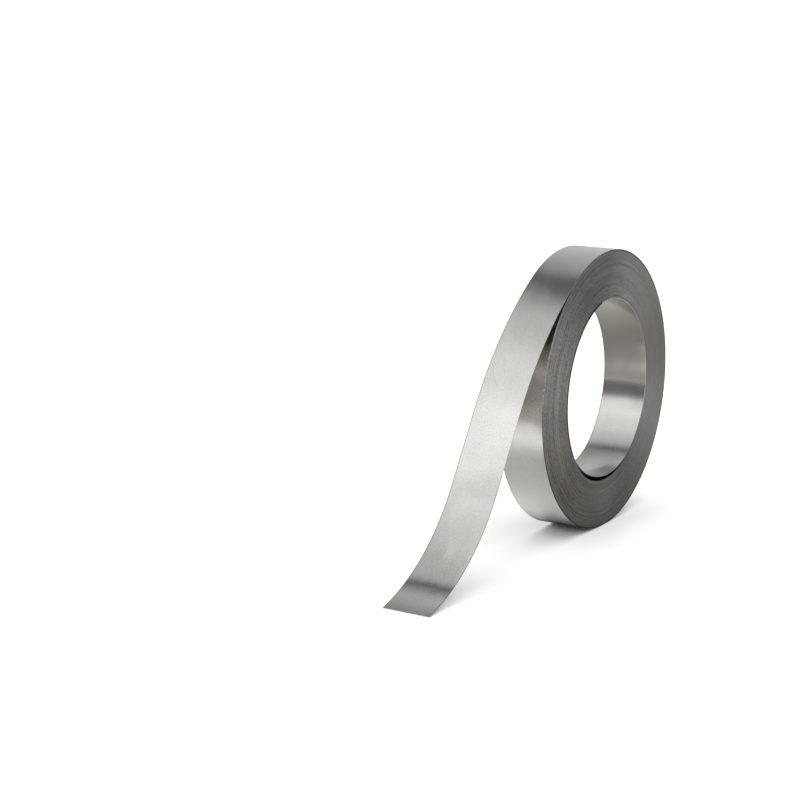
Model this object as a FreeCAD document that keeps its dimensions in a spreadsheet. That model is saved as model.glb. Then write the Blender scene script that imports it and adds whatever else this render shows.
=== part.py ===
"""A coil of nickel strip that stands on its rim, with its outer end pulled out.

The object is one piece: a rolled and slit strip, wound on itself like tape. From the inside out it
has the inner end, whose cut edge is a step in the bore, a crescent of air behind the slack inner
turn, the packed turns, and the outer turn, which peels off near the top, runs down in the air and
rests on the floor with its tip.

Frame: millimetres, +Z up, +Y along the axis of the bore, origin at the middle of the bore.
The free end points along -X. Seen from the -Y side, the strip winds outwards anticlockwise.
"""

import FreeCAD
import Part
import os
from math import cos, radians, sin

import Sketcher

SIZES = {
    # The strip.
    "strip_width": 20.0,
    "strip_thickness": 0.3,
    # The coil: the bore at the strip's cut inner end, and the rim where the outer end peels off.
    "bore_radius": 37.5,
    "rim_radius": 58.0,
    # The outer end. Angles are in degrees, anticlockwise from +X.
    "peel_angle": 122.0,
    "peel_gap": 0.1,
    "spring_radius": 144.0,
    "spring_turn": 25.75,
    "foot_radius": 79.0,
    "foot_turn": 44.5,
    # The inner end, and the air behind the slack inner turn.
    "inner_end_angle": 101.0,
    "slack_start_angle": 223.0,
    "slack_sweep": 92.0,
    "slack_gap": 1.85,
    # The turns that lie deeper than their neighbours, seen as rings on both ends of the coil.
    "first_ring_radius": 40.4,
    "ring_pitch": 2.1,
    "ring_depth": 0.15,
}
RINGS = 8
QUARTERS = 4

NORMAL = FreeCAD.Vector(0, 0, 1)
CENTRE = FreeCAD.Vector(0, 0, 0)
START_POINT, END_POINT, MIDDLE_POINT = range(1, 4)
# The horizontal axis of a sketch, taken at its start, which is the origin.
ORIGIN_POINT = (-1, 1)

doc = FreeCAD.newDocument("nickel_strip_coil")


def make_sheet():
    """The driving dimensions, one row each, with an alias that the sketches read."""
    table = doc.addObject("Spreadsheet::Sheet", "sizes")
    for row, (name, value) in enumerate(SIZES.items(), start=1):
        table.set(f"A{row}", name)
        table.set(f"B{row}", str(value))
        table.setAlias(f"B{row}", name)
    doc.recompute()
    return table


sheet = make_sheet()
size = {name: float(getattr(sheet, name)) for name in SIZES}
half_width = size["strip_width"] / 2
thick = size["strip_thickness"]

# The packed turns reach from inside the first turn to under the last, so that both can be cut or
# laid over them.
packed_inner = size["bore_radius"] - 2 * thick
packed_outer = size["rim_radius"] - 3 * thick
PACKED_INNER = "sizes.bore_radius - 2 * sizes.strip_thickness"
PACKED_OUTER = "sizes.rim_radius - 3 * sizes.strip_thickness"


def on_circle(degrees, radius):
    """The point at that angle and radius about the axis of the bore."""
    turn = radians(degrees)
    return FreeCAD.Vector(cos(turn), sin(turn), 0) * radius


def arc(middle, radius, from_degrees, to_degrees):
    """An arc that runs anticlockwise from one angle to the other."""
    circle = Part.Circle(middle, NORMAL, radius)
    return Part.ArcOfCircle(circle, radians(from_degrees), radians(to_degrees))


def new_sketch(body, name, plane_role):
    """A sketch on one of the body's own origin planes."""
    sketch = body.newObject("Sketcher::SketchObject", name)
    plane = next(item for item in body.Origin.OriginFeatures if item.Role == plane_role)
    sketch.AttachmentSupport = [(plane, "")]
    sketch.MapMode = "FlatFace"
    return sketch


def tie(sketch, kind, *where):
    """A relation without a size, such as Tangent or Coincident."""
    sketch.addConstraint(Sketcher.Constraint(kind, *where))


def measure(sketch, name, kind, *where, value, reads):
    """A named dimension that starts at its value and reads it from the sheet."""
    index = sketch.addConstraint(Sketcher.Constraint(kind, *where, value))
    sketch.renameConstraint(index, name)
    sketch.setExpression(f"Constraints.{name}", reads)


def ray(sketch, name, degrees, length, reads):
    """A construction line from the origin at an angle from the sheet. Its length stays free."""
    line = sketch.addGeometry(Part.LineSegment(CENTRE, on_circle(degrees, length)), True)
    tie(sketch, "Coincident", line, START_POINT, *ORIGIN_POINT)
    measure(sketch, name, "Angle", *ORIGIN_POINT, line, START_POINT,
            value=radians(degrees), reads=reads)
    return line


def quarter_spiral(sketch, name, radius, from_degrees, growth, radius_reads, growth_reads):
    """One turn of a spiral as four quarter arcs, each tangent to the one before.

    The first arc is centred on the bore. Each next arc is wider by a quarter of the growth, and its
    centre steps back along the radius where the two meet, so that the turn ends on the angle where
    it began, one growth further out.
    """
    step = growth / QUARTERS
    middle = CENTRE
    arcs = []
    for quarter in range(QUARTERS):
        start = from_degrees + 90.0 * quarter
        if quarter:
            middle = middle - on_circle(start, step)
        arcs.append(sketch.addGeometry(arc(middle, radius + step * quarter, start, start + 90.0)))
    tie(sketch, "Coincident", arcs[0], MIDDLE_POINT, *ORIGIN_POINT)
    for quarter, piece in enumerate(arcs):
        if quarter:
            tie(sketch, "Tangent", arcs[quarter - 1], END_POINT, piece, START_POINT)
        measure(sketch, f"{name}_radius_{quarter}", "Radius", piece, value=radius + step * quarter,
                reads=f"{radius_reads} + {quarter} * ({growth_reads}) / {QUARTERS}")
        tie(sketch, "Angle", piece, radians(90.0))
    return arcs


def across_the_width(feature, sketch):
    """Runs a pad or pocket over the whole width of the strip, equally to both sides."""
    feature.Profile = sketch
    feature.SideType = "Symmetric"
    feature.setExpression("Length", "sizes.strip_width")


# The strip: one body for all its turns
strip = doc.addObject("PartDesign::Body", "nickel_strip")
strip.Label = "nickel_strip"

# Packed turns
# They touch each other all round, so they are one ring turned about the axis of the bore.
section = new_sketch(strip, "packed_section", "YZ_Plane")
corners = [
    FreeCAD.Vector(-half_width, packed_inner, 0),
    FreeCAD.Vector(half_width, packed_inner, 0),
    FreeCAD.Vector(half_width, packed_outer, 0),
    FreeCAD.Vector(-half_width, packed_outer, 0),
]
sides = [
    section.addGeometry(Part.LineSegment(corner, corners[(k + 1) % len(corners)]))
    for k, corner in enumerate(corners)
]
for k, side in enumerate(sides):
    tie(section, "Coincident", side, END_POINT, sides[(k + 1) % len(sides)], START_POINT)
    tie(section, "Vertical" if k % 2 else "Horizontal", side)
inner_side, outer_side = sides[0], sides[2]
measure(section, "near_end", "DistanceX", inner_side, START_POINT, *ORIGIN_POINT,
        value=half_width, reads="sizes.strip_width / 2")
measure(section, "width", "DistanceX", inner_side, START_POINT, inner_side, END_POINT,
        value=2 * half_width, reads="sizes.strip_width")
measure(section, "inner", "DistanceY", *ORIGIN_POINT, inner_side, START_POINT,
        value=packed_inner, reads=PACKED_INNER)
measure(section, "outer", "DistanceY", *ORIGIN_POINT, outer_side, START_POINT,
        value=packed_outer, reads=PACKED_OUTER)

packed = strip.newObject("PartDesign::Revolution", "packed_turns")
packed.Profile = section
packed.ReferenceAxis = (section, ["H_Axis"])
packed.Angle = 360.0
doc.recompute()

# Outer turn and free end
# The rim grows by one thickness and a little air in a turn, from the root under the free end round
# to where the strip peels off. The free end leaves the rim on a tangent, springs open, runs
# straight down and turns up again until the lower corner of its tip is level with the rim's lowest
# line, where both stand on the floor.
outline = new_sketch(strip, "outer_turn_outline", "XZ_Plane")
peel = size["peel_angle"]
rise = thick + size["peel_gap"]
root_radius = size["rim_radius"] - rise
RISE = "sizes.strip_thickness + sizes.peel_gap"
rim = quarter_spiral(outline, "rim", root_radius, peel, rise,
                     "sizes.rim_radius - sizes.strip_thickness - sizes.peel_gap", RISE)
peel_ray = ray(outline, "peel", peel, root_radius, "sizes.peel_angle")
tie(outline, "Coincident", peel_ray, END_POINT, rim[0], START_POINT)

spring_radius = size["spring_radius"]
foot_radius = size["foot_radius"]
spring_end = peel + size["spring_turn"]
spring_middle = on_circle(peel, size["rim_radius"] - spring_radius)
floor_level = -on_circle(peel + 90.0, rise / QUARTERS).y - root_radius - rise / QUARTERS

# The straight run starts with the length that brings the tip down to the floor.
foot_end = spring_end + 180.0
foot_start = foot_end - size["foot_turn"]
drop_to_foot = (spring_middle + on_circle(spring_end, spring_radius + foot_radius)).y
tip_above_middle = on_circle(foot_start, foot_radius + thick).y
run_heading = on_circle(spring_end + 90.0, 1.0)
run_length = (floor_level - tip_above_middle - drop_to_foot) / run_heading.y
foot_middle = (spring_middle + on_circle(spring_end, spring_radius + foot_radius)
               + run_heading * run_length)

faces = {}
for face, inset in (("upper", 0.0), ("lower", thick)):
    spring = arc(spring_middle, spring_radius - inset, peel, spring_end)
    foot = arc(foot_middle, foot_radius + inset, foot_start, foot_end)
    run = Part.LineSegment(spring.EndPoint, foot.EndPoint)
    faces[face] = [outline.addGeometry(piece) for piece in (spring, run, foot)]
    spring, run, foot = faces[face]
    tie(outline, "Tangent", spring, END_POINT, run, START_POINT)
    tie(outline, "Tangent", run, END_POINT, foot, END_POINT)
    less = "sizes.strip_thickness" if inset else "0"
    measure(outline, f"{face}_spring", "Radius", spring, value=spring_radius - inset,
            reads=f"sizes.spring_radius - {less}")
    measure(outline, f"{face}_foot", "Radius", foot, value=foot_radius + inset,
            reads=f"sizes.foot_radius + {less}")
    measure(outline, f"{face}_spring_turn", "Angle", spring, value=radians(size["spring_turn"]),
            reads="sizes.spring_turn")
    measure(outline, f"{face}_foot_turn", "Angle", foot, value=radians(size["foot_turn"]),
            reads="sizes.foot_turn")
upper, lower = faces["upper"], faces["lower"]
tie(outline, "Tangent", rim[-1], END_POINT, upper[0], START_POINT)
tie(outline, "Coincident", upper[0], MIDDLE_POINT, lower[0], MIDDLE_POINT)
tie(outline, "Coincident", upper[2], MIDDLE_POINT, lower[2], MIDDLE_POINT)

root_step = outline.addGeometry(Part.LineSegment(
    on_circle(peel, root_radius), on_circle(peel, size["rim_radius"] - thick)))
tie(outline, "Coincident", root_step, START_POINT, rim[0], START_POINT)
tie(outline, "Coincident", root_step, END_POINT, lower[0], START_POINT)
tip_upper = foot_middle + on_circle(foot_start, foot_radius)
tip_lower = foot_middle + on_circle(foot_start, foot_radius + thick)
tip = outline.addGeometry(Part.LineSegment(tip_upper, tip_lower))
tie(outline, "Coincident", tip, START_POINT, upper[2], START_POINT)
tie(outline, "Coincident", tip, END_POINT, lower[2], START_POINT)

rim_foot = FreeCAD.Vector(-on_circle(peel + 90.0, rise / QUARTERS).x, floor_level, 0)
floor_line = outline.addGeometry(Part.LineSegment(tip_lower, rim_foot), True)
tie(outline, "Horizontal", floor_line)
tie(outline, "Coincident", floor_line, START_POINT, lower[2], START_POINT)
tie(outline, "Tangent", floor_line, rim[1])
tie(outline, "Vertical", floor_line, END_POINT, rim[1], MIDDLE_POINT)

under_rim = outline.addGeometry(Part.Circle(CENTRE, NORMAL, packed_outer - 2 * thick))
tie(outline, "Coincident", under_rim, MIDDLE_POINT, *ORIGIN_POINT)
measure(outline, "under_rim", "Radius", under_rim, value=packed_outer - 2 * thick,
        reads=f"{PACKED_OUTER} - 2 * sizes.strip_thickness")

outer_turn = strip.newObject("PartDesign::Pad", "outer_turn")
across_the_width(outer_turn, outline)
doc.recompute()

# Bore and inner end
# The first turn grows by one thickness too, so the cut end of the strip stands in the bore as a
# step one thickness high.
bore_outline = new_sketch(strip, "bore_outline", "XZ_Plane")
inner_end = size["inner_end_angle"]
bore_arcs = quarter_spiral(bore_outline, "bore", size["bore_radius"], inner_end, thick,
                           "sizes.bore_radius", "sizes.strip_thickness")
inner_end_ray = ray(bore_outline, "inner_end", inner_end, size["bore_radius"],
                    "sizes.inner_end_angle")
tie(bore_outline, "Coincident", inner_end_ray, END_POINT, bore_arcs[0], START_POINT)
cut_end = bore_outline.addGeometry(Part.LineSegment(
    on_circle(inner_end, size["bore_radius"] + thick), on_circle(inner_end, size["bore_radius"])))
tie(bore_outline, "Coincident", cut_end, START_POINT, bore_arcs[-1], END_POINT)
tie(bore_outline, "Coincident", cut_end, END_POINT, bore_arcs[0], START_POINT)

bore = strip.newObject("PartDesign::Pocket", "bore")
across_the_width(bore, bore_outline)
doc.recompute()

# Slack inner turn
# The first turn sags away from the pack over a quarter of the bore. The air between them is a
# crescent: its near side follows the turn, its far side bulges by the gap at the middle.
slack_outline = new_sketch(strip, "slack_outline", "XZ_Plane")
near_radius = size["bore_radius"] + 1.5 * thick
slack_start = size["slack_start_angle"]
slack_end = slack_start + size["slack_sweep"]
slack_middle = (slack_start + slack_end) / 2
near = slack_outline.addGeometry(arc(CENTRE, near_radius, slack_start, slack_end))
tie(slack_outline, "Coincident", near, MIDDLE_POINT, *ORIGIN_POINT)
measure(slack_outline, "near_radius", "Radius", near, value=near_radius,
        reads="sizes.bore_radius + 1.5 * sizes.strip_thickness")
measure(slack_outline, "sweep", "Angle", near, value=radians(size["slack_sweep"]),
        reads="sizes.slack_sweep")
start_ray = ray(slack_outline, "slack_start", slack_start, near_radius, "sizes.slack_start_angle")
tie(slack_outline, "Coincident", start_ray, END_POINT, near, START_POINT)

far_point = on_circle(slack_middle, near_radius + size["slack_gap"])
far_circle = Part.Arc(on_circle(slack_start, near_radius), far_point, on_circle(slack_end, near_radius))
far = slack_outline.addGeometry(far_circle)
tie(slack_outline, "Coincident", far, START_POINT, near, START_POINT)
tie(slack_outline, "Coincident", far, END_POINT, near, END_POINT)
middle_ray = ray(slack_outline, "slack_middle", slack_middle, near_radius + size["slack_gap"],
                 "sizes.slack_start_angle + sizes.slack_sweep / 2")
tie(slack_outline, "PointOnObject", middle_ray, END_POINT, far)
measure(slack_outline, "gap", "Distance", middle_ray, value=near_radius + size["slack_gap"],
        reads="sizes.bore_radius + 1.5 * sizes.strip_thickness + sizes.slack_gap")

slack = strip.newObject("PartDesign::Pocket", "slack_turn_gap")
across_the_width(slack, slack_outline)
doc.recompute()

# Rings on the ends
# Some turns lie a little deeper than their neighbours. Each is one thickness wide.
ring_section = new_sketch(strip, "ring_section", "YZ_Plane")
for k in range(RINGS):
    low = size["first_ring_radius"] + k * size["ring_pitch"]
    near_y, deep_y = -half_width, -half_width + size["ring_depth"]
    turn_corners = [
        FreeCAD.Vector(near_y, low, 0),
        FreeCAD.Vector(deep_y, low, 0),
        FreeCAD.Vector(deep_y, low + thick, 0),
        FreeCAD.Vector(near_y, low + thick, 0),
    ]
    turn_sides = [
        ring_section.addGeometry(Part.LineSegment(corner, turn_corners[(j + 1) % len(turn_corners)]))
        for j, corner in enumerate(turn_corners)
    ]
    for j, side in enumerate(turn_sides):
        follower = turn_sides[(j + 1) % len(turn_sides)]
        tie(ring_section, "Coincident", side, END_POINT, follower, START_POINT)
        tie(ring_section, "Vertical" if j % 2 else "Horizontal", side)
    bottom, wall, top, _ = turn_sides
    measure(ring_section, f"end_{k}", "DistanceX", bottom, START_POINT, *ORIGIN_POINT,
            value=half_width, reads="sizes.strip_width / 2")
    measure(ring_section, f"depth_{k}", "DistanceX", bottom, START_POINT, bottom, END_POINT,
            value=size["ring_depth"], reads="sizes.ring_depth")
    measure(ring_section, f"turn_{k}", "DistanceY", wall, START_POINT, wall, END_POINT,
            value=thick, reads="sizes.strip_thickness")
    measure(ring_section, f"radius_{k}", "DistanceY", *ORIGIN_POINT, bottom, START_POINT,
            value=low, reads=f"sizes.first_ring_radius + {k} * sizes.ring_pitch")

rings = strip.newObject("PartDesign::Groove", "near_end_rings")
rings.Profile = ring_section
rings.ReferenceAxis = (ring_section, ["H_Axis"])
rings.Angle = 360.0
doc.recompute()

far_rings = strip.newObject("PartDesign::Mirrored", "far_end_rings")
far_rings.Originals = [rings]
far_rings.MirrorPlane = (ring_section, ["V_Axis"])
strip.Tip = far_rings
doc.recompute()


def check():
    """Every object recomputed, each step added or removed material, and one valid solid is left."""
    for item in doc.Objects:
        if "Invalid" in item.State or "Error" in item.State:
            raise RuntimeError(f"{item.Name} failed: {item.State}")
    if not outer_turn.Shape.Volume > packed.Shape.Volume:
        raise RuntimeError("outer_turn added nothing")
    cuts = [outer_turn, bore, slack, rings, far_rings]
    for earlier, later in zip(cuts, cuts[1:]):
        if not later.Shape.Volume < earlier.Shape.Volume:
            raise RuntimeError(f"{later.Name} cut nothing")
    shape = strip.Shape
    if shape.isNull() or not shape.isValid() or len(shape.Solids) != 1:
        raise RuntimeError("nickel_strip isn't one valid solid")


check()
os.makedirs("parts", exist_ok=True)
strip.Shape.exportStep(f"parts/{strip.Label}.step")
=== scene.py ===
from math import radians

import bpy
import numpy as np
from mathutils import Matrix, Vector


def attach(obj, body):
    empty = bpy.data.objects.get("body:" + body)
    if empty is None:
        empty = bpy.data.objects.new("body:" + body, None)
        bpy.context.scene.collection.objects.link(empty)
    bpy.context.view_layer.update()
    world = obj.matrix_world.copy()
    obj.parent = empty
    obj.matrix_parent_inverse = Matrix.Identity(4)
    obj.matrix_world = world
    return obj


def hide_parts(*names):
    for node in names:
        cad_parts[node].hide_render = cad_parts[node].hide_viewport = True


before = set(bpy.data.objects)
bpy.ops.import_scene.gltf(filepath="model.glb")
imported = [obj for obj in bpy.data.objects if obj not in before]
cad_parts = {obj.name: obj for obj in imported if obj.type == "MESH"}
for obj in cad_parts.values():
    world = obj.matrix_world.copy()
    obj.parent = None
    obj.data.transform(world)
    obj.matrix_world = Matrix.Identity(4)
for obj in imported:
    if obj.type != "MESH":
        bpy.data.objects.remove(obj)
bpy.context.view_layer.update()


# The nickel strip, wound up
# The real piece is one strip of cold-rolled nickel, slit to 20 mm and wound on itself like tape. It
# lies in 66 turns, the first of them slack in the bore, and its outer end is pulled off the roll.

# Sizes are in millimetres and bearings in degrees, from +X towards +Z about the axis of the bore.
# The strip is a little narrower than 20 mm, which leaves the turns room to lie to either side.
MM = 0.001
STRIP_WIDTH = 19.76
STRIP_THICKNESS = 0.3
EDGE_ROUNDING = 0.09
SIDE_WANDER = 0.1

# The strip starts in the bore at one bearing and leaves the roll at another, PEEL. Its free end
# springs open on a wide arc, and turns up on a second arc at the foot.
BORE_RADIUS = 37.5
INNER_END = 101.0
PACKED_TURNS = 65
PEEL = 122.0
ROOT_RADIUS = 57.3
LAST_TURN_RISE = 0.4

SPRING_RADIUS = 144.0
SPRING_TURN = 25.75
FOOT_RADIUS = 79.0
FOOT_TURN = 44.497
FLOOR_LEVEL = -57.647

# The slack first turn sags at the bottom, and the inner turns are a little flat beside the free end.
SAG_MIDDLE = 256.0
SAG_BEFORE = 38.0
SAG_AFTER = 50.0
SAG_DEPTH = 1.65

FLAT_MIDDLE = 170.0
FLAT_BEFORE = 70.0
FLAT_AFTER = 76.0
FLAT_DEPTH = 1.95

# How many points each part of the path has. The last turn has twice as many as the others.
STEPS_PER_TURN = 144
SPRING_POINTS = 60
RUN_POINTS = 14
FOOT_POINTS = 80


def direction(degrees):
    """The unit vector (x, z) at that angle from +X towards +Z, for one angle or many."""
    turn = np.radians(degrees)
    return np.stack([np.cos(turn), np.sin(turn)], axis=-1)


def winding(start, radius, pitch, sweep, steps):
    """A spiral of quarter arcs: in quarter q the radius is the first radius plus q / 4 pitches, and
    the arc's centre has stepped back by a quarter of the pitch along each joint's radius."""
    turned = np.linspace(0.0, sweep, steps)
    quarter = np.minimum((turned / 90.0).astype(int), int(np.ceil(sweep / 90.0)) - 1)
    joints = direction(start + 90.0 * np.arange(1, quarter.max() + 1))
    centres = np.vstack([[0.0, 0.0], -np.cumsum(joints, axis=0) * pitch / 4])
    wide = radius + quarter * pitch / 4
    return centres[quarter] + wide[:, None] * direction(start + turned), start + turned


def dent(off_middle, before, after, depth):
    """How far inside their spiral the turns lie: the depth times (1 - u^2)^1.5, where u is the angle
    from the middle of the dent, divided by the angle at which the dent ends on that side."""
    u = off_middle / np.where(off_middle < 0.0, before, after)
    return depth * np.clip(1.0 - u**2, 0.0, None)**1.5


def free_end():
    """The lower face of the free end: an arc that opens, a straight run, and an arc that turns up,
    each tangent to the last. The run is as long as brings the tip's lower corner to the floor."""
    opened = PEEL + SPRING_TURN
    rim = ROOT_RADIUS + LAST_TURN_RISE + STRIP_THICKNESS
    spring_centre = direction(PEEL) * (rim - SPRING_RADIUS)
    spring_angles = np.linspace(PEEL, opened, SPRING_POINTS)
    spring = spring_centre + direction(spring_angles) * (SPRING_RADIUS - STRIP_THICKNESS)
    under = FOOT_RADIUS + STRIP_THICKNESS
    to_foot = spring_centre + direction(opened) * (SPRING_RADIUS + FOOT_RADIUS)
    heading = direction(opened + 90.0)
    tip_angle = opened + 180.0 - FOOT_TURN
    run = (FLOOR_LEVEL - under * direction(tip_angle)[1] - to_foot[1]) / heading[1]
    foot_centre = to_foot + heading * run
    foot_angles = np.linspace(opened + 180.0, tip_angle, FOOT_POINTS)
    foot = foot_centre + direction(foot_angles) * under
    straight = np.linspace(spring[-1], foot[0], RUN_POINTS)[1:-1]
    return np.vstack([spring[1:], straight, foot])


def strip_path():
    """The inner face of the strip from its inner end to its tip, as (x, z) points in millimetres: a
    spiral with its two dents, one turn that rises faster, and the free end. Two steps along it come
    with the points: where the outermost turn starts, and where the free end leaves the roll."""
    pitch = (ROOT_RADIUS - BORE_RADIUS) / PACKED_TURNS
    sweep = 360.0 * PACKED_TURNS + PEEL - INNER_END
    pack, angle = winding(INNER_END, BORE_RADIUS, pitch, sweep, int(STEPS_PER_TURN * sweep / 360.0))
    sag = dent(angle - SAG_MIDDLE, SAG_BEFORE, SAG_AFTER, SAG_DEPTH)
    from_flat = (angle - FLAT_MIDDLE + 180.0) % 360.0 - 180.0
    flat = dent(from_flat, FLAT_BEFORE, FLAT_AFTER, FLAT_DEPTH) * np.linspace(1.0, 0.0, len(pack))
    pack = pack - sag[:, None] * direction(angle) - flat[:, None] * direction(angle)
    last, _ = winding(PEEL, ROOT_RADIUS, LAST_TURN_RISE, 360.0, 2 * STEPS_PER_TURN)
    peel_step = len(pack) + len(last) - 1
    return np.vstack([pack, last[1:], free_end()]), len(pack), peel_step


path, outer_step, peel_step = strip_path()
along = np.concatenate([[0.0], np.cumsum(np.linalg.norm(np.diff(path, axis=0), axis=1))])
heading = np.gradient(path, along, axis=0)
heading /= np.linalg.norm(heading, axis=1)[:, None]
outward = np.stack([heading[:, 1], -heading[:, 0]], axis=1)

# Each turn was laid a little to one side of the last: knots every third of a turn, with a slower
# drift over a few turns, smoothly joined, and fading out on the last turn.
FINE_KNOTS, FINE_KNOTS_PER_TURN, FINE_SHARE = 400, 3, 0.55
DRIFT_KNOTS, DRIFT_KNOTS_PER_TURN, DRIFT_SHARE = 60, 0.45, 0.6
rng = np.random.default_rng(7)
steps = np.arange(len(path))
turn_number = steps / STEPS_PER_TURN
fine = np.interp(turn_number * FINE_KNOTS_PER_TURN, np.arange(FINE_KNOTS),
                 rng.uniform(-1, 1, FINE_KNOTS))
drift = np.interp(turn_number * DRIFT_KNOTS_PER_TURN, np.arange(DRIFT_KNOTS),
                  rng.uniform(-1, 1, DRIFT_KNOTS))
kept = np.clip((outer_step - steps) / STEPS_PER_TURN, 0.0, 1.0)
side = SIDE_WANDER * kept * np.clip(FINE_SHARE * fine + DRIFT_SHARE * drift, -1, 1)


def swept_strip(name, path, outward, side):
    """A closed band: eight profile points, (y across, height through the thickness), carried along
    the path, so that a vertex is the path's point plus height times the outward normal."""
    half, cut, high = STRIP_WIDTH / 2, EDGE_ROUNDING, STRIP_THICKNESS
    profile = np.array([
        (-half + cut, 0.0), (half - cut, 0.0), (half, cut), (half, high - cut),
        (half - cut, high), (-half + cut, high), (-half, high - cut), (-half, cut),
    ])
    count, ring = len(path), len(profile)
    xz = path[:, None, :] + profile[None, :, 1:2] * outward[:, None, :]
    y = side[:, None] + profile[None, :, 0]
    verts = np.stack([xz[..., 0], y, xz[..., 1]], axis=-1).reshape(-1, 3) * MM
    row = np.arange(count - 1)[:, None] * ring
    here, there = np.arange(ring), (np.arange(ring) + 1) % ring
    quads = np.stack([row + here, row + there, row + ring + there, row + ring + here], axis=-1)
    quads = quads.reshape(-1, 4)
    caps = [list(range(ring)), list(range((count - 1) * ring, count * ring))[::-1]]
    mesh = bpy.data.meshes.new(name)
    mesh.from_pydata(verts.tolist(), [], quads.tolist() + caps)
    return mesh, ring


mesh, ring = swept_strip("nickel_strip_wound", path, outward, side)
strip = bpy.data.objects.new("nickel_strip_wound", mesh)
bpy.context.collection.objects.link(strip)

# The two wide faces are rolled, the six narrow ones and the inner end are cut. Handling has
# burnished the roundings that stand free: those of the first turn's inner face from where it sags,
# those of the outer face from the top of the roll to the middle of the free end, and the tip.
sag_step = int(STEPS_PER_TURN * (SAG_MIDDLE - SAG_BEFORE - INNER_END) / 360.0)
top_step = peel_step - 34
halfway_step = peel_step + 68
faces = np.arange(len(mesh.polygons))
strand, step = faces % ring, faces // ring
wide = (strand == 0) | (strand == 4)
inner_rounding = ((strand == 1) | (strand == 7)) & (step >= sag_step) & (step < STEPS_PER_TURN)
outer_rounding = ((strand == 3) | (strand == 5)) & (step >= top_step) & (step < halfway_step)
cap = faces >= len(faces) - 2
tip = faces == len(faces) - 1
bright = (wide | inner_rounding | outer_rounding) & ~cap | tip
mesh.polygons.foreach_set("material_index", np.where(bright, 0, 1))
mesh.polygons.foreach_set("use_smooth", ~cap)

# Edges that run along the strip beside a wide face stay sharp, and so do those round its two ends.
edge_ends = np.empty(len(mesh.edges) * 2, dtype=np.int64)
mesh.edges.foreach_get("vertices", edge_ends)
edge_ends = edge_ends.reshape(-1, 2)
lengthwise = (edge_ends[:, 0] % ring) == (edge_ends[:, 1] % ring)
by_wide_face = np.isin(edge_ends[:, 0] % ring, [0, 1, 4, 5])
at_inner_end = (edge_ends // ring == 0).all(axis=1)
at_tip = (edge_ends // ring == len(path) - 1).all(axis=1)
mesh.edges.foreach_set("use_edge_sharp", (lengthwise & by_wide_face) | at_inner_end | at_tip)

# Where on the strip a vertex is, in millimetres: along it, across it, and its distance from the
# axis of the bore.
where = np.zeros((len(path), ring, 3))
where[..., 0] = along[:, None]
where[..., 1] = np.array([-1, 1, 1, 1, 1, -1, -1, -1])[None, :] * STRIP_WIDTH / 2
where[..., 2] = np.linalg.norm(path, axis=1)[:, None]
strip_place = mesh.attributes.new("strip_place", "FLOAT_VECTOR", "POINT")
strip_place.data.foreach_set("vector", where.ravel())


class Value:
    """A shader socket. Python's operators on it add Math nodes."""

    def __init__(self, finish, socket):
        self.finish, self.socket = finish, socket

    def _math(self, operation, first, second):
        return self.finish.add("ShaderNodeMath", {"operation": operation}, {0: first, 1: second})

    def __add__(self, other):
        return self._math("ADD", self, other)

    def __sub__(self, other):
        return self._math("SUBTRACT", self, other)

    def __mul__(self, other):
        return self._math("MULTIPLY", self, other)

    def __truediv__(self, other):
        return self._math("DIVIDE", self, other)

    def __gt__(self, other):
        return self._math("GREATER_THAN", self, other)

    def __lt__(self, other):
        return self._math("LESS_THAN", self, other)

    def __rsub__(self, other):
        return self._math("SUBTRACT", other, self)

    def __rtruediv__(self, other):
        return self._math("DIVIDE", other, self)

    __radd__ = __add__
    __rmul__ = __mul__


class Finish:
    """A material under construction."""

    def __init__(self, name):
        self.material = bpy.data.materials.new(name)
        self.material.use_nodes = True
        self.tree = self.material.node_tree
        self.tree.nodes.clear()

    def add(self, kind, settings, inputs, output=0):
        """Adds a node of that type, sets its settings, then fills or links its sockets. The stops of
        a ramp are pairs of a place from 0 to 1 and a grey level."""
        node = self.tree.nodes.new(kind)
        for key, value in settings.items():
            if key == "stops":
                for stop_place, _ in value[2:]:
                    node.color_ramp.elements.new(stop_place)
                for stop, (stop_place, grey) in zip(node.color_ramp.elements, sorted(value)):
                    stop.position, stop.color = stop_place, (grey, grey, grey, 1.0)
            else:
                setattr(node, key, value)
        for key, value in inputs.items():
            if isinstance(value, Value):
                self.tree.links.new(value.socket, node.inputs[key])
            else:
                node.inputs[key].default_value = value
        return Value(self, node.outputs[output])

    def noise(self, vector, detail=2.0, roughness=0.5):
        return self.add("ShaderNodeTexNoise", {}, {
            "Vector": vector, "Scale": 1.0, "Detail": detail, "Roughness": roughness})

    def stretched(self, vector, factors):
        return self.add("ShaderNodeVectorMath", {"operation": "MULTIPLY"}, {0: vector, 1: factors})

    def part(self, vector, axis):
        return self.add("ShaderNodeSeparateXYZ", {}, {0: vector}, output=axis)

    def ranged(self, value, low, high, at_low=0.0, at_high=1.0, interpolation="LINEAR"):
        """Carries the range low to high to the range at_low to at_high, and stays inside that."""
        return self.add("ShaderNodeMapRange", {"interpolation_type": interpolation}, {
            "Value": value, "From Min": low, "From Max": high, "To Min": at_low, "To Max": at_high})

    def between(self, mask, first, second):
        """The first colour where the mask is 0 and the second where it is 1."""
        return self.add("ShaderNodeMix", {"data_type": "RGBA"}, {0: mask, 6: first, 7: second},
                        output=2)

    def made(self, shader):
        output = self.tree.nodes.new("ShaderNodeOutputMaterial")
        self.tree.links.new(shader.socket, output.inputs["Surface"])
        return self.material


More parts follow.
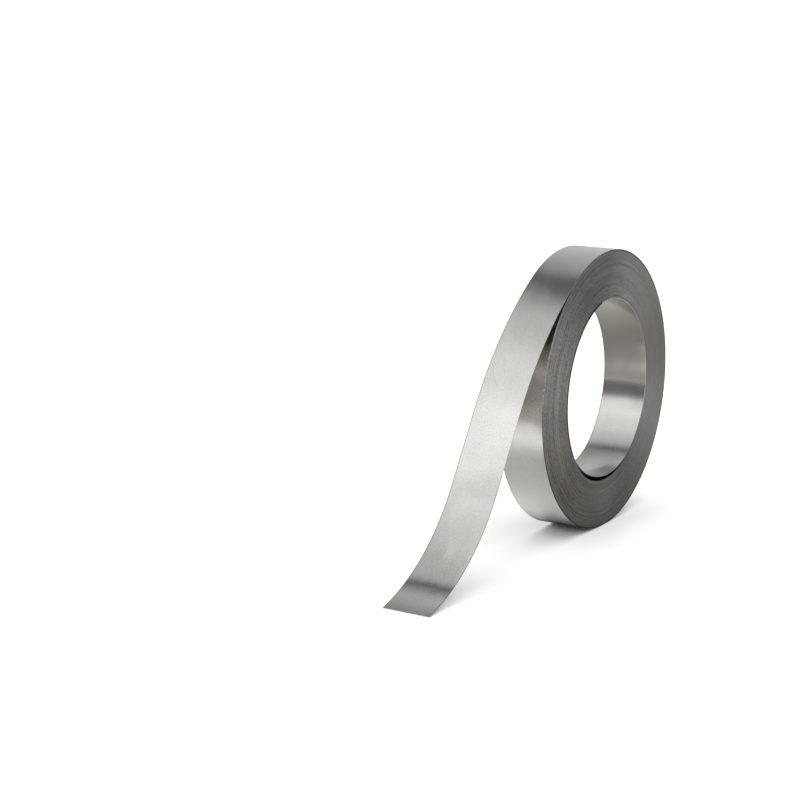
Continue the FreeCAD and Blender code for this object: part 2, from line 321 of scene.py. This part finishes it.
# Rolled faces: satin, with a fine speckled grain, faint rolling lines and a cloudy change of tone
# over a few centimetres. They are a little uneven, which bends the reflections, and have a few faint
# curved rub marks.
ROLLED_DARK = (0.647, 0.631, 0.603, 1.0)
ROLLED_PALE = (0.787, 0.774, 0.748, 1.0)
RUB_LEVEL = 0.56
RUB_WIDTH = 0.012
rolled = Finish("rolled_nickel")
place = rolled.add("ShaderNodeAttribute", {"attribute_name": "strip_place"}, {}, output="Vector")
grain = rolled.noise(rolled.stretched(place, (1.5, 2.0, 0.0)), detail=3.0, roughness=0.75)
lines = rolled.noise(rolled.stretched(place, (0.02, 2.0, 0.0)), detail=4.0, roughness=0.6)
clouds = rolled.noise(rolled.stretched(place, (0.05, 0.08, 0.0)), detail=3.0)
waves = rolled.noise(rolled.stretched(place, (0.055, 0.07, 0.0)), detail=2.0, roughness=0.4)
swirl = rolled.noise(rolled.stretched(place, (0.045, 0.06, 0.0)), detail=1.0)
# A rub mark follows a level line of the swirl, where the clouds are bright.
off_line = rolled.add("ShaderNodeMath", {"operation": "ABSOLUTE"}, {0: swirl - RUB_LEVEL})
marks = rolled.ranged(off_line, 0.0, RUB_WIDTH, 1.0, 0.0) * rolled.ranged(clouds, 0.56, 0.66)
tone = rolled.ranged(clouds * 0.25 + grain * 0.65 + lines * 0.1, 0.38, 0.62)
colour = rolled.between(tone - marks * 0.35, ROLLED_DARK, ROLLED_PALE)
length = rolled.part(place, "X")


def rises(first_step, last_step, low, high):
    """The low value before the one step of the path and the high value after the other."""
    return rolled.ranged(length, along[first_step], along[last_step], low, high, "SMOOTHSTEP")


# Painted reflection: the tone is made a little lighter and darker where the free end turns up, for
# what the foot mirrors there. The foot was pressed on a plate to turn it, and is smoother.
foot_step = len(path) - FOOT_POINTS
painted_foot_reflection = rises(foot_step - 60, foot_step - 6, 1.0, 1.07)
painted_foot_reflection = painted_foot_reflection * rises(foot_step - 4, foot_step + 6, 1.0, 0.84)
painted_foot_reflection = painted_foot_reflection * rises(foot_step + 16, foot_step + 44, 1.0, 1.13)
pressed = rises(foot_step + 22, foot_step + 44, 1.0, 0.62)
# A darker line, where the burr is, runs along the far edge, over its last half millimetre.
burr_line = rolled.ranged(rolled.part(place, "Y"), 9.45, 9.75)
colour = rolled.add("ShaderNodeVectorMath", {"operation": "SCALE"}, {
    0: colour, "Scale": painted_foot_reflection * (1.0 - burr_line * 0.55)})
bump = rolled.add("ShaderNodeBump", {}, {
    "Strength": 1.0, "Distance": 0.0002, "Height": waves + grain * 0.02 + lines * 0.004})
rolled_nickel = rolled.made(rolled.add("ShaderNodeBsdfPrincipled", {}, {
    "Base Color": colour,
    "Metallic": 1.0,
    "Roughness": (0.14 + grain * 0.08 + clouds * 0.04) * pressed + marks * 0.05,
    "Normal": bump,
}))

# Slit edges: duller and darker than the faces. Each turn has its own tone, and short streaks run
# over a few turns. Painted shade, for edges that lie in shade or mirror dark things nearby, makes
# the starts of the first turns, the outermost turn and the foot the darkest.
SLIT_DARK = (0.085, 0.083, 0.079, 1.0)
SLIT_PALE = (0.565, 0.555, 0.538, 1.0)
EDGE_SHADE_COLOUR = (0.02, 0.0195, 0.018, 1.0)
BURNISHED = (0.80, 0.79, 0.775, 1.0)
FLECK = (0.85, 0.84, 0.82, 1.0)
slit = Finish("slit_edge")
place = slit.add("ShaderNodeAttribute", {"attribute_name": "strip_place"}, {}, output="Vector")
length = slit.part(place, "X")
radius = slit.part(place, "Z")
spot = slit.add("ShaderNodeTexCoord", {}, {}, output="Object")
bearing = slit.add("ShaderNodeVectorMath", {"operation": "NORMALIZE"}, {
    0: slit.stretched(spot, (1.0, 0.0, 1.0))})


def round_the_roll(turning, outwards):
    """Noise whose place is the bearing from the axis and the radius, each with its own scale."""
    around = slit.stretched(bearing, (turning, turning, turning))
    out = slit.add("ShaderNodeCombineXYZ", {}, {"Y": radius * outwards})
    spread = slit.add("ShaderNodeVectorMath", {"operation": "ADD"}, {0: around, 1: out})
    return slit.noise(spread, roughness=0.6)


def stretch_of(first_step, last_step):
    """1 on the strip between two steps of its path, and 0 elsewhere."""
    return (length > along[first_step]) * (length < along[last_step])


turns = slit.noise(slit.stretched(place, (0.007, 0.0, 0.0)))
streaks = round_the_roll(3.4, 3.6)
burr = slit.noise(slit.stretched(place, (1.2, 0.0, 3.3)), roughness=0.7)
broad = round_the_roll(1.1, 0.05)
tone = slit.ranged(turns * 0.36 + streaks * 0.14 + burr * 0.4 + broad * 0.1, 0.38, 0.62)
plain = slit.ranged(slit.part(bearing, "X"), 0.3, 0.75, 1.0, 0.3)
# Painted light and shade: the mean tone goes along the bearing round the end, lighter where the
# end face mirrors brighter things and darker where it mirrors shade: (bearing in degrees, tone).
# Arctan2 of the opposite direction is the bearing less half a turn.
BEARING_SHADE_TONES = [(0, 0.56), (72, 0.58), (92, 0.35), (112, 0.47), (135, 0.47), (162, 0.33), (184, 0.43),
              (200, 0.65), (220, 0.52), (265, 0.61), (360, 0.56)]
opposite = slit.stretched(bearing, (-1.0, 0.0, -1.0))
less_half_a_turn = slit.add("ShaderNodeMath", {"operation": "ARCTAN2"}, {
    0: slit.part(opposite, "Z"), 1: slit.part(opposite, "X")})
bearing_shade = slit.add("ShaderNodeValToRGB", {
    "stops": [(degrees / 360.0, grey) for degrees, grey in BEARING_SHADE_TONES]},
    {"Fac": less_half_a_turn / radians(360.0) + 0.5})
colour = slit.between((tone - 0.5) * plain + bearing_shade, SLIT_DARK, SLIT_PALE)

# Where the painted shade is: (first step, last step, share), with -1 for the tip.
EDGE_SHADE_STRETCHES = [
    (0, sag_step, 0.85),
    (outer_step + 44, peel_step, 0.85),
    (STEPS_PER_TURN, STEPS_PER_TURN + sag_step, 0.85),
    (2 * STEPS_PER_TURN, 2 * STEPS_PER_TURN + sag_step, 0.75),
    (3 * STEPS_PER_TURN, 3 * STEPS_PER_TURN + sag_step, 0.3),
    (outer_step - 117, outer_step - 13, 0.6),
    (halfway_step, -1, 0.7),
]
edge_shade = sum(stretch_of(first, last) * share for first, last, share in EDGE_SHADE_STRETCHES)
# Painted shade: the stretches listed above are mixed towards near black.
colour = slit.between(edge_shade, colour, EDGE_SHADE_COLOUR)
colour = slit.between(stretch_of(sag_step, STEPS_PER_TURN) * 0.6, colour, BURNISHED)
# Flecks of bright burr stand on the two outer turns just below where the free end leaves them.
flecks = stretch_of(outer_step + 14, outer_step + 42)
flecks = flecks + stretch_of(outer_step - STEPS_PER_TURN + 7, outer_step - STEPS_PER_TURN + 21)
colour = slit.between(flecks * (burr > 0.52) * 0.7, colour, FLECK)
bump = slit.add("ShaderNodeBump", {}, {"Strength": 0.5, "Distance": 0.00005, "Height": burr})
slit_edge = slit.made(slit.add("ShaderNodeBsdfPrincipled", {}, {
    "Base Color": colour,
    "Metallic": 1.0,
    "Roughness": 0.28 + burr * 0.14,
    "Normal": bump,
}))

mesh.materials.append(rolled_nickel)
mesh.materials.append(slit_edge)
mesh.validate()
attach(strip, "root")
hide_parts("nickel_strip")


# The table under the roll
# A plain pale sheet, level with the rim's lowest line and the tip of the free end. On it lie two
# sheets of painted shade that only the polish of the metal shows. From here on, sizes are in metres.

FLOOR_SIZE = 40.0
FLOOR_CELLS = 8
FLOOR_TONE = (0.85, 0.85, 0.85, 1.0)
WHITE = (1.0, 1.0, 1.0, 1.0)


def floor_grid(size, level):
    """A level square of that size: x and y run over the grid, z is the level."""
    points = FLOOR_CELLS + 1
    x, y = np.meshgrid(np.linspace(-size / 2, size / 2, points),
                       np.linspace(-size / 2, size / 2, points))
    verts = np.stack([x, y, np.full_like(x, level)], axis=-1).reshape(-1, 3)
    first = (np.arange(FLOOR_CELLS)[:, None] * points + np.arange(FLOOR_CELLS)).ravel()
    quads = np.stack([first, first + 1, first + points + 1, first + points], axis=-1)
    return verts, quads


def shown_object(name, verts, quads, material):
    data = bpy.data.meshes.new(name)
    data.from_pydata(verts.tolist(), [], quads.tolist())
    data.materials.append(material)
    piece = bpy.data.objects.new(name, data)
    bpy.context.collection.objects.link(piece)
    return piece


def only_in_polish(piece):
    """The camera and the shadows pass through it, and only glossy surfaces show it."""
    piece.visible_camera = False
    piece.visible_diffuse = False
    piece.visible_shadow = False
    piece.visible_transmission = False


pale = Finish("pale_floor")
looked_at = pale.add("ShaderNodeLightPath", {}, {}, output="Is Camera Ray")
in_gloss = pale.add("ShaderNodeLightPath", {}, {}, output="Is Glossy Ray")
in_glass = pale.add("ShaderNodeLightPath", {}, {}, output="Is Transmission Ray")
seen = pale.between(looked_at + in_gloss + in_glass, FLOOR_TONE, WHITE)
pale_floor = pale.made(pale.add("ShaderNodeBsdfDiffuse", {}, {"Color": seen}))
shown_object("floor", *floor_grid(FLOOR_SIZE, FLOOR_LEVEL * MM), pale_floor)

# Painted shade: the pale sheet lies under everything, and the darker one over it, behind the roll
# and before its near end, with the outline (x, y). Their tones go along X: (x, tone). They paint
# the shade on the table round the roll, and the pale tones' dip just left of x = 0 is a painted
# contact shadow.
MAT_SIZE = 2.4
PALE_LEVEL = (FLOOR_LEVEL + 0.1) * MM
DARK_LEVEL = (FLOOR_LEVEL + 0.2) * MM
DARK_TINT = (1.0, 0.965, 0.905, 1.0)
DARK_OUTLINE = [(-1.2, 1.2), (-1.2, 0.11), (-0.14, 0.075), (-0.05, 0.032), (-0.01, 0.03),
                (-0.01, -0.008), (-0.09, -0.008), (-0.09, -0.3), (0.13, -0.3), (0.13, 0.03),
                (1.2, 0.03), (1.2, 1.2)]
PALE_TONES = [(-0.25, 0.66), (-0.19, 0.67), (-0.12, 0.80), (-0.085, 0.50), (-0.065, 0.54),
              (-0.055, 0.60), (-0.047, 0.68), (-0.037, 0.88), (-0.029, 0.92),
              (-0.022, 0.62), (-0.013, 0.10), (-0.008, 0.10), (0.0, 0.70), (0.13, 0.64),
              (0.28, 0.66), (0.38, 1.0)]
DARK_TONES = [(-0.13, 0.27), (-0.07, 0.235), (-0.015, 0.24), (0.015, 0.285), (0.03, 0.34),
              (0.07, 0.42), (0.15, 0.47)]
TONES_FROM = -0.25
TONES_TO = 0.45


def painted_shade(name, tones, tint):
    """Painted shade: a finish whose tone runs through the pairs (x, tone), times a tint."""
    sheet_finish = Finish(name)
    spot = sheet_finish.add("ShaderNodeTexCoord", {}, {}, output="Object")
    share = sheet_finish.ranged(sheet_finish.part(spot, "X"), TONES_FROM, TONES_TO)
    stops = [((x - TONES_FROM) / (TONES_TO - TONES_FROM), grey) for x, grey in tones]
    tone = sheet_finish.add("ShaderNodeValToRGB", {"stops": stops}, {"Fac": share})
    colour = sheet_finish.add("ShaderNodeMix", {"data_type": "RGBA", "blend_type": "MULTIPLY"}, {
        0: 1.0, 6: tone, 7: tint}, output=2)
    return sheet_finish.made(sheet_finish.add("ShaderNodeBsdfDiffuse", {}, {"Color": colour}))


# The two sheets of painted shade, shown only in the metal's polish.
pale_painted_shade = painted_shade("pale_painted_shade", PALE_TONES, WHITE)
only_in_polish(shown_object("pale_shade_sheet", *floor_grid(MAT_SIZE, PALE_LEVEL), pale_painted_shade))
dark_painted_shade = painted_shade("dark_painted_shade", DARK_TONES, DARK_TINT)
dark_verts = np.array([(x, y, DARK_LEVEL) for x, y in DARK_OUTLINE])
dark_face = np.arange(len(dark_verts))[None, :]
only_in_polish(shown_object("dark_shade_sheet", dark_verts, dark_face, dark_painted_shade))


# Light
# A white room all round, a large soft lamp overhead, and cards beside and above the roll
# that only its polish shows: metal looks flat in an even light.

# The room is white to the camera and in polish, and lights what is diffuse a little less. A ray that
# left the floor and was mirrored by the metal finds the room black, which keeps the floor dark close
# under the roll. Of the two ranges, one goes by the ray's diffuse bounces, the other by its kind.
ROOM_WHITE = 1.0
ROOM_ON_DIFFUSE = 0.9
ROOM_AFTER_POLISH = 0.0
world = bpy.data.worlds.new("white_room")
bpy.context.scene.world = world
world.use_nodes = True
backdrop = world.node_tree.nodes["Background"]
backdrop.inputs["Color"].default_value = WHITE
ray = world.node_tree.nodes.new("ShaderNodeLightPath")
level = world.node_tree.nodes.new("ShaderNodeMapRange")
level.inputs["To Min"].default_value = ROOM_WHITE
world.node_tree.links.new(ray.outputs["Diffuse Depth"], level.inputs["Value"])
bounced = world.node_tree.nodes.new("ShaderNodeMapRange")
bounced.inputs["To Min"].default_value = ROOM_AFTER_POLISH
bounced.inputs["To Max"].default_value = ROOM_ON_DIFFUSE
world.node_tree.links.new(ray.outputs["Is Diffuse Ray"], bounced.inputs["Value"])
world.node_tree.links.new(bounced.outputs["Result"], level.inputs["To Max"])
world.node_tree.links.new(level.outputs["Result"], backdrop.inputs["Strength"])

LAMP_SIDE = Vector((-0.4, -0.15, 1.0))
lamp_data = bpy.data.lights.new("soft_lamp", "SUN")
lamp_data.angle = radians(90.0)
lamp_data.energy = 1.4
lamp = bpy.data.objects.new("soft_lamp", lamp_data)
lamp.matrix_world = LAMP_SIDE.to_track_quat("Z", "Y").to_matrix().to_4x4()
lamp.visible_glossy = False
bpy.context.collection.objects.link(lamp)

# The curved card lies round the axis of the roll, from the right over the top to the left. Its level
# is painted on, (angle, level), in three bands: up to LINE_NEAR the rim and the upper free end
# mirror it, between LINES_MIDDLE the bore, and from LINE_FAR the foot. Its points are the direction
# of each angle times CARD_DISTANCE, at each line's place along Y.
CARD_DISTANCE = 0.43
CARD_REACH = 1.5
CARD_SWEEP = 182.0
CARD_POINTS = 365
LINE_NEAR = 0.204
LINES_MIDDLE = (0.214, 0.232)
LINE_FAR = 0.242
NEAR_LEVELS = [
    (0, 0.64), (8, 0.65), (24, 0.645), (40, 0.555), (56, 0.465), (64, 0.415), (70, 0.36), (74, 0.31),
    (77, 0.21), (80, 0.10), (83.5, 0.03), (87, 0.03), (89, 0.18), (91.5, 0.40), (96, 0.51),
    (101, 0.61), (107, 0.60), (110, 0.65), (113, 0.76), (116, 0.90), (120, 0.93), (126, 0.92),
    (131, 0.96), (135, 1.07), (138.2, 1.52), (139.5, 1.36), (141, 0.94), (143.5, 0.79), (158, 0.77),
    (160, 0.10), (182, 0.10)]
MIDDLE_LEVELS = [
    (0, 0.55), (42, 0.55), (56, 0.41), (64, 0.31), (70, 0.20), (73, 0.04), (80, 0.04), (82, 0.25),
    (85, 0.50), (90, 0.68), (96, 0.78), (102, 0.86), (108, 0.99), (114, 1.08), (120, 0.96),
    (126, 0.92), (132, 1.02), (138, 1.10), (141, 1.20), (145, 1.55), (155, 1.50), (159, 0.75),
    (162, 0.30), (182, 0.12)]
FAR_LEVELS = [
    (0, 0.30), (56, 0.26), (64, 0.36), (68, 0.46), (74, 0.51), (78, 0.46), (81, 0.28), (84, 0.14),
    (87, 0.09), (88.5, 0.34), (90, 0.43), (94, 0.52), (102, 0.55), (108, 0.52), (112, 0.52),
    (118, 0.59), (122, 0.78), (140, 0.78), (158, 0.82), (160, 0.10), (182, 0.10)]


def card(name, points, levels):
    """A glowing sheet over a grid of points, with a level at each of them."""
    rows, columns = levels.shape
    first = (np.arange(rows - 1)[:, None] * columns + np.arange(columns - 1)).ravel()
    quads = np.stack([first, first + 1, first + columns + 1, first + columns], axis=-1)
    glow = Finish(name)
    shade = glow.add("ShaderNodeAttribute", {"attribute_name": "level"}, {}, output="Color")
    lit = glow.made(glow.add("ShaderNodeEmission", {}, {"Color": shade, "Strength": 1.0}))
    piece = shown_object(name, points.reshape(-1, 3), quads, lit)
    piece.data.attributes.new("level", "FLOAT", "POINT").data.foreach_set("value", levels.ravel())
    only_in_polish(piece)


card_angles = np.linspace(0.0, CARD_SWEEP, CARD_POINTS)
near, middle, far = (np.interp(card_angles, *np.array(levels).T)
                     for levels in (NEAR_LEVELS, MIDDLE_LEVELS, FAR_LEVELS))
card_lines = np.array([-CARD_REACH, LINE_NEAR, *LINES_MIDDLE, LINE_FAR, CARD_REACH])
arc = direction(card_angles)[:, None, :] * CARD_DISTANCE
curved = np.stack(np.broadcast_arrays(arc[..., 0], card_lines, arc[..., 1]), axis=-1)
card("curved_card", curved, np.stack([near, near, middle, middle, far, far], axis=1))

# Two more stand on the table before the near end, to the right, for the slit edges to mirror:
# (name, left foot, right foot, height of the top).
END_CARD_LEVEL = 0.06
END_CARDS = [
    ("end_card", (0.127, -0.227), (0.200, -0.150), 0.19),
    ("low_card", (0.160, -0.150), (0.200, -0.030), 0.01),
]
for name, left, right, top in END_CARDS:
    feet = np.array([(*left, FLOOR_LEVEL * MM), (*right, FLOOR_LEVEL * MM)])
    tops = feet * (1, 1, 0) + (0, 0, top)
    card(name, np.stack([feet, tops], axis=1), np.full((2, 2), END_CARD_LEVEL))


# Camera
# It stands low in front of the free end and looks along the roll's near end, down by 12 degrees
# and turned by a quarter of a degree about its own line of sight.

CAMERA_PLACE = Vector((-700.07, -343.37, 165.46)) * MM
LOOK = Vector((0.82998, 0.51446, -0.21555)).normalized()
ROLL = radians(0.26)
camera_data = bpy.data.cameras.new("camera")
camera_data.sensor_width = 36.0
camera_data.lens = 86.18
camera = bpy.data.objects.new("camera", camera_data)
across = LOOK.cross(Vector((0, 0, 1))).normalized()
upward = across.cross(LOOK)
turned = Matrix((across, upward, -LOOK)).transposed().to_4x4()
camera.matrix_world = Matrix.Translation(CAMERA_PLACE) @ turned @ Matrix.Rotation(ROLL, 4, "Z")
bpy.context.collection.objects.link(camera)
bpy.context.scene.camera = camera
bpy.context.scene.view_settings.view_transform = "Standard"
